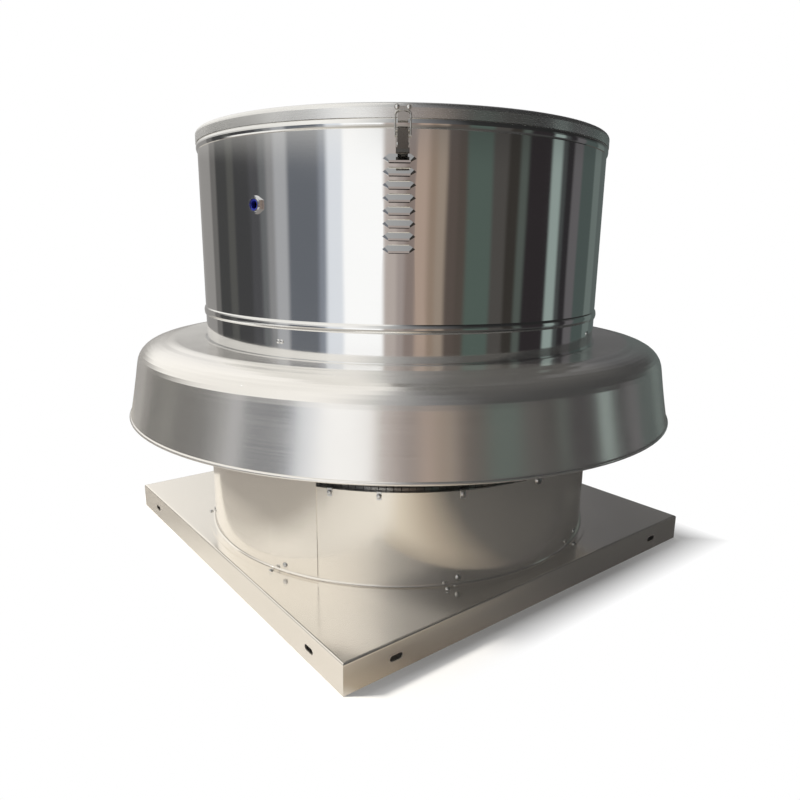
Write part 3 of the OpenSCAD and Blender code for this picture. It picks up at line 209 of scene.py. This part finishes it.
def turned_metal(name, dark, light, rough, grain=300.0, bump=0.00002, metallic=1.0, coat=0.0):
    """Small steel parts: plated, cast, turned or painted, with a fine grain and a little dirt."""
    mat, s = new_material(name)
    place = object_place(s)
    fine = s.noise(place, scale=grain)
    broad = s.noise(place, scale=25.0)
    s.surface(
        Base_Color=s.mix(s.blend(fine, broad, 0.4), dark, light),
        Metallic=metallic,
        Roughness=s.math("MULTIPLY_ADD", broad, rough * 0.8, rough * 0.6),
        Normal=s.bump(fine, 0.6, bump),
        Coat_Weight=coat,
        Coat_Roughness=0.2,
    )
    return mat


def soft_material(name, dark, light, rough):
    """Rubber and plastic."""
    mat, s = new_material(name)
    place = object_place(s)
    fine = s.noise(place, scale=400.0, roughness=0.7)
    broad = s.noise(place, scale=18.0)
    s.surface(
        Base_Color=s.mix(s.blend(fine, broad, 0.3), dark, light),
        Roughness=s.math("MULTIPLY_ADD", fine, 0.2, rough - 0.1),
        Normal=s.bump(fine, 0.5, 0.00004),
    )
    return mat


# Each finish: its darkest and lightest colour, its roughness, and what its maker takes besides
SHEET_METALS = {
    "aluminium_sheet": dict(
        dark=(0.80, 0.76, 0.70), light=(0.91, 0.88, 0.83), rough=0.13,
        lines=900, line_bump=0.000005, wave_bump=0.0016, metallic=0.85),
    "spun_aluminium": dict(
        dark=(0.78, 0.77, 0.75), light=(0.90, 0.89, 0.87), rough=0.12,
        lines=700, line_bump=0.000008, wave_bump=0.0006, blotch=0.6, metallic=0.94),
    "shroud_aluminium": dict(
        dark=(0.80, 0.785, 0.76), light=(0.92, 0.905, 0.88), rough=0.17,
        lines=500, line_bump=0.000003, wave_bump=0.0006, blotch=0.35, metallic=0.91),
    "polished_aluminium": dict(
        dark=(0.84, 0.84, 0.83), light=(0.92, 0.92, 0.91), rough=0.07,
        lines=1500, line_bump=0.000005, wave_bump=0.0012, stretch=0.5, blotch=0.2),
    "cap_aluminium": dict(
        dark=(0.82, 0.82, 0.81), light=(0.91, 0.91, 0.90), rough=0.24,
        lines=1200, line_bump=0.000008, wave_bump=0.0004, metallic=0.97),
}
TURNED_METALS = {
    "latch_steel": dict(dark=(0.62, 0.61, 0.58), light=(0.76, 0.75, 0.72), rough=0.22),
    "lever_steel": dict(dark=(0.14, 0.13, 0.12), light=(0.24, 0.23, 0.21), rough=0.25),
    "zinc_steel": dict(dark=(0.62, 0.63, 0.64), light=(0.76, 0.77, 0.78), rough=0.3),
    "shaft_steel": dict(dark=(0.52, 0.53, 0.54), light=(0.66, 0.67, 0.68), rough=0.22),
    "stand_paint": dict(
        dark=(0.03, 0.035, 0.04), light=(0.05, 0.055, 0.06), rough=0.45,
        grain=200, bump=0.00004, metallic=0.0, coat=0.3),
    "motor_paint": dict(
        dark=(0.015, 0.05, 0.12), light=(0.025, 0.075, 0.17), rough=0.4,
        grain=160, bump=0.00008, metallic=0.0, coat=0.4),
    "cast_housing": dict(
        dark=(0.03, 0.03, 0.035), light=(0.06, 0.06, 0.065), rough=0.5,
        grain=220, bump=0.0001, metallic=0.3),
    "pulley_iron": dict(
        dark=(0.16, 0.16, 0.17), light=(0.28, 0.28, 0.29), rough=0.4, grain=240, bump=0.00006),
    "screen_wire": dict(dark=(0.05, 0.05, 0.05), light=(0.12, 0.12, 0.12), rough=0.4, grain=500),
    "gland_metal": dict(
        dark=(0.70, 0.71, 0.74), light=(0.82, 0.83, 0.86), rough=0.14, grain=500, bump=0.000006),
}
SOFT_MATERIALS = {
    "belt_rubber": dict(dark=(0.006, 0.006, 0.006), light=(0.02, 0.02, 0.02), rough=0.6),
    "gland_rubber": dict(dark=(0.008, 0.015, 0.16), light=(0.02, 0.03, 0.28), rough=0.35),
    "fan_plastic": dict(dark=(0.01, 0.01, 0.01), light=(0.03, 0.03, 0.03), rough=0.45),
}
MATERIALS = {
    name: maker(name, **finish)
    for maker, finishes in (
        (sheet_metal, SHEET_METALS), (turned_metal, TURNED_METALS), (soft_material, SOFT_MATERIALS))
    for name, finish in finishes.items()
}

# Nodes whose finish differs from the rest of their slot
OWN_METAL = {"cap": "cap_aluminium", "shroud": "shroud_aluminium"}


def dress_nodes():
    """Each CAD node takes the material of its slot, but for the cap, the shroud and the latch levers."""
    slots = {p["node"]: p["material_slot"] for p in frame["record"]["subparts"]}
    for name, node in NODES.items():
        slot = "lever_steel" if name.startswith("lever_") else OWN_METAL.get(name, slots[name])
        node.data.materials.clear()
        node.data.materials.append(MATERIALS[slot])


dress_nodes()


# Bird screen: a welded mesh of round wires, hoops outside and uprights just inside them
WIRE_PITCH = 0.0127
WIRE_RADIUS = 0.0008
WIRE_SIDES = 4
HOOP_STEPS = 180
# From the outer face to the middle of the uprights, in wire radii
UPRIGHT_INSET = 2.6


def hoop(bm, radius, z):
    """One level wire of the screen."""
    rings = []
    for i in range(HOOP_STEPS):
        a = FULL_TURN * i / HOOP_STEPS
        ring = []
        for k in range(WIRE_SIDES):
            b = FULL_TURN * (k + 0.5) / WIRE_SIDES
            r = radius + WIRE_RADIUS * math.cos(b)
            ring.append(bm.verts.new((r * math.cos(a), r * math.sin(a), z + WIRE_RADIUS * math.sin(b))))
        rings.append(ring)
    for i, here in enumerate(rings):
        there = rings[(i + 1) % HOOP_STEPS]
        for k in range(WIRE_SIDES):
            m = (k + 1) % WIRE_SIDES
            bm.faces.new((here[k], there[k], there[m], here[m]))


def upright(bm, x, y, foot, top):
    """One upright wire of the screen."""
    turns = [FULL_TURN * k / WIRE_SIDES for k in range(WIRE_SIDES)]
    low, high = (
        [bm.verts.new((x + WIRE_RADIUS * math.cos(b), y + WIRE_RADIUS * math.sin(b), z)) for b in turns]
        for z in (foot, top))
    for k in range(WIRE_SIDES):
        m = (k + 1) % WIRE_SIDES
        bm.faces.new((low[k], low[m], high[m], high[k]))
    bm.faces.new(low[::-1])
    bm.faces.new(high)


def placed(bm, name):
    """Turns a bmesh into an object of the scene."""
    mesh = bpy.data.meshes.new(name)
    bm.to_mesh(mesh)
    bm.free()
    made = bpy.data.objects.new(name, mesh)
    SCENE.collection.objects.link(made)
    return made


def screen_mesh():
    low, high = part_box("bird_screen")
    outer = high.x
    bm = bmesh.new()
    rows = round((high.z - low.z) / WIRE_PITCH)
    for i in range(rows + 1):
        z = low.z + WIRE_RADIUS + (high.z - low.z - 2 * WIRE_RADIUS) * i / rows
        hoop(bm, outer - WIRE_RADIUS, z)
    columns = round(FULL_TURN * outer / WIRE_PITCH)
    inner = outer - UPRIGHT_INSET * WIRE_RADIUS
    for i in range(columns):
        a = FULL_TURN * i / columns
        upright(bm, inner * math.cos(a), inner * math.sin(a), low.z, high.z)
    bmesh.ops.recalc_face_normals(bm, faces=bm.faces)
    piece = placed(bm, "screen_mesh")
    piece.data.materials.append(MATERIALS["screen_wire"])
    for face in piece.data.polygons:
        face.use_smooth = True
    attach(piece, "housing")
    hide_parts("bird_screen")


screen_mesh()


# Camera of the photograph, as fitted to its edges
CAMERA_PLACE = Vector((-0.8736, -1.1133, 0.6244))
CAMERA_PITCH = math.radians(13.36)
CAMERA_ROLL = math.radians(0.71)
CAMERA_LENS = 29.50
SENSOR_WIDTH = 36.0
CAMERA_SHIFT = (0.00125, -0.00075)
CLIP_NEAR = 0.05
CLIP_FAR = 60


def make_camera():
    data = bpy.data.cameras.new("camera")
    data.lens = CAMERA_LENS
    data.sensor_width = SENSOR_WIDTH
    data.shift_x, data.shift_y = CAMERA_SHIFT
    data.clip_start = CLIP_NEAR
    data.clip_end = CLIP_FAR
    made = bpy.data.objects.new("camera", data)
    SCENE.collection.objects.link(made)
    level = Vector((-CAMERA_PLACE.x, -CAMERA_PLACE.y, 0)).normalized()
    side = level.cross(UP)
    ahead = level * math.cos(CAMERA_PITCH) - UP * math.sin(CAMERA_PITCH)
    above = side.cross(ahead)
    right = side * math.cos(CAMERA_ROLL) + above * math.sin(CAMERA_ROLL)
    turn = Matrix((right, right.cross(ahead), -ahead)).transposed()
    made.matrix_world = Matrix.Translation(CAMERA_PLACE) @ turn.to_4x4()
    SCENE.camera = made


make_camera()


# Soft panels round the studio, seen by gloss alone: where each begins, in degrees from the camera's side
# to the right in the picture, and its brightness and tint
PANELS = [
    (-180, (0.24, 0.235, 0.23)), (-166, (0.34, 0.33, 0.32)), (-150, (0.30, 0.29, 0.28)),
    (-128, (0.16, 0.155, 0.15)), (-120, (0.06, 0.06, 0.06)), (-108, (0.095, 0.095, 0.09)),
    (-101, (0.055, 0.055, 0.057)), (-88, (0.075, 0.075, 0.08)), (-80, (0.14, 0.145, 0.15)),
    (-75, (0.26, 0.26, 0.265)), (-70, (0.40, 0.405, 0.42)), (-62, (0.135, 0.145, 0.165)),
    (-44, (0.24, 0.26, 0.30)), (-40, (0.78, 0.81, 0.86)), (-31, (1.08, 1.08, 1.08)),
    (-9, (0.48, 0.42, 0.39)), (-2, (0.36, 0.31, 0.29)), (2, (0.25, 0.20, 0.18)),
    (8, (0.43, 0.33, 0.27)), (14, (0.29, 0.22, 0.17)), (18, (0.32, 0.26, 0.21)),
    (23, (0.10, 0.08, 0.07)), (29, (0.085, 0.07, 0.06)), (34, (0.085, 0.115, 0.10)),
    (48, (0.075, 0.07, 0.065)), (57, (0.038, 0.034, 0.03)), (64, (0.085, 0.10, 0.09)),
    (69, (0.027, 0.023, 0.025)), (85, (0.28, 0.34, 0.32)), (93, (0.06, 0.065, 0.065)),
    (97, (0.026, 0.024, 0.026)), (103, (0.12, 0.115, 0.12)), (112, (0.07, 0.09, 0.085)),
    (128, (0.14, 0.17, 0.16)), (140, (0.10, 0.12, 0.115)), (160, (0.10, 0.10, 0.10)),
]
# Width of the blend between two panels, as a share of the whole turn
PANEL_BLEND = 0.006
# A colour ramp holds too few stops for all panels, so each quarter of the turn has its own
RAMPS = 4

# Sky above the panels, from the picture's right to its left
SKY = [
    (0.0, (0.02, 0.02, 0.02)), (0.2, (0.03, 0.03, 0.03)), (0.34, (0.12, 0.12, 0.125)),
    (0.44, (0.22, 0.22, 0.225)), (0.54, (0.42, 0.42, 0.42)), (0.62, (0.72, 0.715, 0.70)),
    (0.72, (0.94, 0.92, 0.89)), (0.85, (1.0, 0.98, 0.94)), (1.0, (0.90, 0.88, 0.84)),
]
# Ground beyond the floor, in the same order
GROUND = [
    (0.0, (0.05, 0.05, 0.05)), (0.35, (0.10, 0.09, 0.08)), (0.5, (0.32, 0.29, 0.26)),
    (0.7, (0.50, 0.47, 0.42)), (0.92, (0.66, 0.62, 0.56)), (0.97, (1.0, 0.98, 0.94)),
    (1.0, (1.0, 0.98, 0.94)),
]
# Upward slope of a ray where the panels turn to sky, and where they turn to ground
SKY_FROM, SKY_TO = 0.11, 0.26
GROUND_FROM, GROUND_TO = -0.175, -0.215
# Even light on everything that isn't glossy
EVEN_LIGHT = (0.42, 0.42, 0.42)


def panel_stops():
    """Ramp stops over the whole turn, from behind the camera's side round to it again."""
    stops = [(0.0, PANELS[0][1])]
    for (_, before), (begin, colour) in zip(PANELS, PANELS[1:]):
        here = (begin + 180) / 360
        stops += [(here - PANEL_BLEND / 2, before), (here + PANEL_BLEND / 2, colour)]
    return stops


def panel_ring(s, place):
    """Colour of the panels at a place from 0 to 1 round the turn."""
    stops = panel_stops()
    ring = None
    for k in range(RAMPS):
        low, high = k / RAMPS, (k + 1) / RAMPS
        first = [colour for at, colour in stops if at <= low][-1]
        part = [(0.0, first)] + [((at - low) * RAMPS, colour) for at, colour in stops if low < at < high]
        piece = s.ramp(s.span(place, low, high), part)
        ring = piece if ring is None else s.mix(s.math("GREATER_THAN", place, low), ring, piece)
    return ring


def make_world():
    """White to the camera; soft even light; and for gloss, panels at the horizon under a softer sky."""
    world = bpy.data.worlds.new("studio")
    SCENE.world = world
    s = Shader(world)
    x, y, z = s.split(s.node("ShaderNodeTexCoord").outputs["Generated"])
    turned = s.math("SUBTRACT", s.math("ARCTAN2", y, x), CAMERA_SIDE)
    share = s.math("WRAP", s.math("DIVIDE", turned, FULL_TURN), 0.5, -0.5)
    horizon = panel_ring(s, s.math("ADD", share, 0.5))
    left = s.span(s.math("MULTIPLY", s.math("SINE", turned), -1.0), -1, 1)
    gloss = s.mix(s.span(z, SKY_FROM, SKY_TO), horizon, s.ramp(left, SKY))
    gloss = s.mix(s.span(z, GROUND_FROM, GROUND_TO), gloss, s.ramp(left, GROUND))
    camera_ray, shiny = s.rays()
    back = s.node("ShaderNodeBackground")
    s.put(back.inputs[0], s.mix(shiny, s.mix(camera_ray, EVEN_LIGHT, WHITE), gloss))
    s.output(back.outputs[0], "ShaderNodeOutputWorld")


make_world()


# Floor: a pale disc
FLOOR_RADIUS = 1.6
FLOOR_CORNERS = 96
FLOOR_COLOUR = (0.82, 0.82, 0.82, 1)
# The distances below are half the side of a square round the fan's axis. Between these two the floor
# turns white to the camera, so that it keeps the shadow beside the curb
WHITE_FROM, WHITE_TO = 0.45, 0.52
# Inside this one the floor glows black to gloss, a painted shade inside the curb, so that the slots look
# dark
CURB_HALF = 0.43
UNDER_CURB_PAINTED_SHADE = (0.01, 0.01, 0.01)
# Between these two the floor's tone in the metal changes from the band beside the curb to the floor
# beyond it. These tones are painted reflections: a painted shadow in the band, with painted light on the
# left and painted shade on the right in both;
# both lists run from the picture's left to its right
BAND_FROM, BAND_TO = 0.47, 0.60
# Painted shadow beside the curb, with painted light on the left and painted shade on the right
BAND_PAINTED_SHADOW_AND_LIGHT = [
    (0.0, (0.34, 0.31, 0.28)), (0.22, (0.42, 0.39, 0.35)), (0.3, (0.74, 0.70, 0.63)),
    (0.462, (0.78, 0.73, 0.66)), (0.475, (0.40, 0.33, 0.24)), (0.52, (0.16, 0.13, 0.10)),
    (0.6, (0.10, 0.09, 0.08)), (0.68, (0.045, 0.042, 0.04)), (1.0, (0.02, 0.02, 0.02)),
]
# Painted light on the left and painted shade on the right, as the metal shows the floor beyond the band
FLOOR_PAINTED_LIGHT_AND_SHADE = [
    (0.0, (0.34, 0.31, 0.28)), (0.22, (0.42, 0.39, 0.35)), (0.3, (0.85, 0.81, 0.74)),
    (0.46, (1.0, 0.96, 0.88)), (0.51, (0.80, 0.72, 0.60)), (0.58, (0.50, 0.43, 0.34)),
    (0.63, (0.28, 0.24, 0.19)), (0.68, (0.07, 0.065, 0.06)), (1.0, (0.02, 0.02, 0.02)),
]


def floor_material():
    mat, s = new_material("floor")
    x, y, _ = s.split(object_place(s))
    square = s.math("MAXIMUM", s.math("ABSOLUTE", x), s.math("ABSOLUTE", y))
    y_share = s.math("MULTIPLY", y, math.cos(CAMERA_SIDE))
    x_share = s.math("MULTIPLY", x, math.sin(CAMERA_SIDE))
    right = s.span(s.math("SUBTRACT", y_share, x_share), -1, 1)
    # Painted reflection tones: a painted shadow in the band beside the curb, painted light on the left
    # and painted shade on the right
    beside, beyond = s.ramp(right, BAND_PAINTED_SHADOW_AND_LIGHT), s.ramp(right, FLOOR_PAINTED_LIGHT_AND_SHADE)
    gloss = s.mix(s.span(square, BAND_FROM, BAND_TO), beside, beyond)
    # Under the curb the floor glows black to gloss: painted shade
    gloss = s.mix(s.math("LESS_THAN", square, CURB_HALF), gloss, UNDER_CURB_PAINTED_SHADE)
    camera_ray, shiny = s.rays()
    matt = s.node("ShaderNodeBsdfDiffuse")
    matt.inputs[0].default_value = FLOOR_COLOUR
    # To gloss the floor glows with the painted light and shade above; to the camera it is white
    glow = s.node("ShaderNodeEmission")
    s.put(glow.inputs[0], s.mix(camera_ray, gloss, WHITE))
    far = s.math("MULTIPLY", s.span(square, WHITE_FROM, WHITE_TO), camera_ray)
    both = s.node("ShaderNodeMixShader")
    shader = s.fill(both, s.math("MAXIMUM", far, shiny), matt.outputs[0], glow.outputs[0])
    s.output(shader, "ShaderNodeOutputMaterial")
    return mat


def make_floor():
    """Pale floor that keeps the shadow near the fan and turns white further out, and that glows to gloss
    with painted light, shade and shadow.
    """
    bm = bmesh.new()
    turns = [FULL_TURN * k / FLOOR_CORNERS for k in range(FLOOR_CORNERS)]
    bm.faces.new([
        bm.verts.new((FLOOR_RADIUS * math.cos(a), FLOOR_RADIUS * math.sin(a), 0)) for a in turns])
    floor = placed(bm, "floor")
    floor.data.materials.append(floor_material())


make_floor()


# Lamps: both aim at the fan's middle, and gloss doesn't see them
LIT_POINT = Vector((0, 0, 0.3))


def camera_side(right, ahead, height):
    """A place given from the fan's axis as the camera sees it."""
    towards = Vector((math.cos(CAMERA_SIDE), math.sin(CAMERA_SIDE), 0))
    side = Vector((-towards.y, towards.x, 0))
    return towards * -ahead + side * right + UP * height


def soft_box(name, place, size, power, colour=WHITE):
    data = bpy.data.lights.new(name, "AREA")
    data.shape = "SQUARE"
    data.size = size
    data.energy = power
    data.color = colour
    lamp = bpy.data.objects.new(name, data)
    lamp.location = place
    lamp.rotation_euler = (LIT_POINT - place).to_track_quat("-Z", "Y").to_euler()
    lamp.visible_glossy = False
    SCENE.collection.objects.link(lamp)


soft_box("key", camera_side(-3.2, -0.75, 2.6), size=0.5, power=260, colour=(1.0, 0.95, 0.86))
soft_box("top", camera_side(0.2, 0.4, 3.2), size=2.4, power=25)

SCENE.view_settings.view_transform = "Standard"
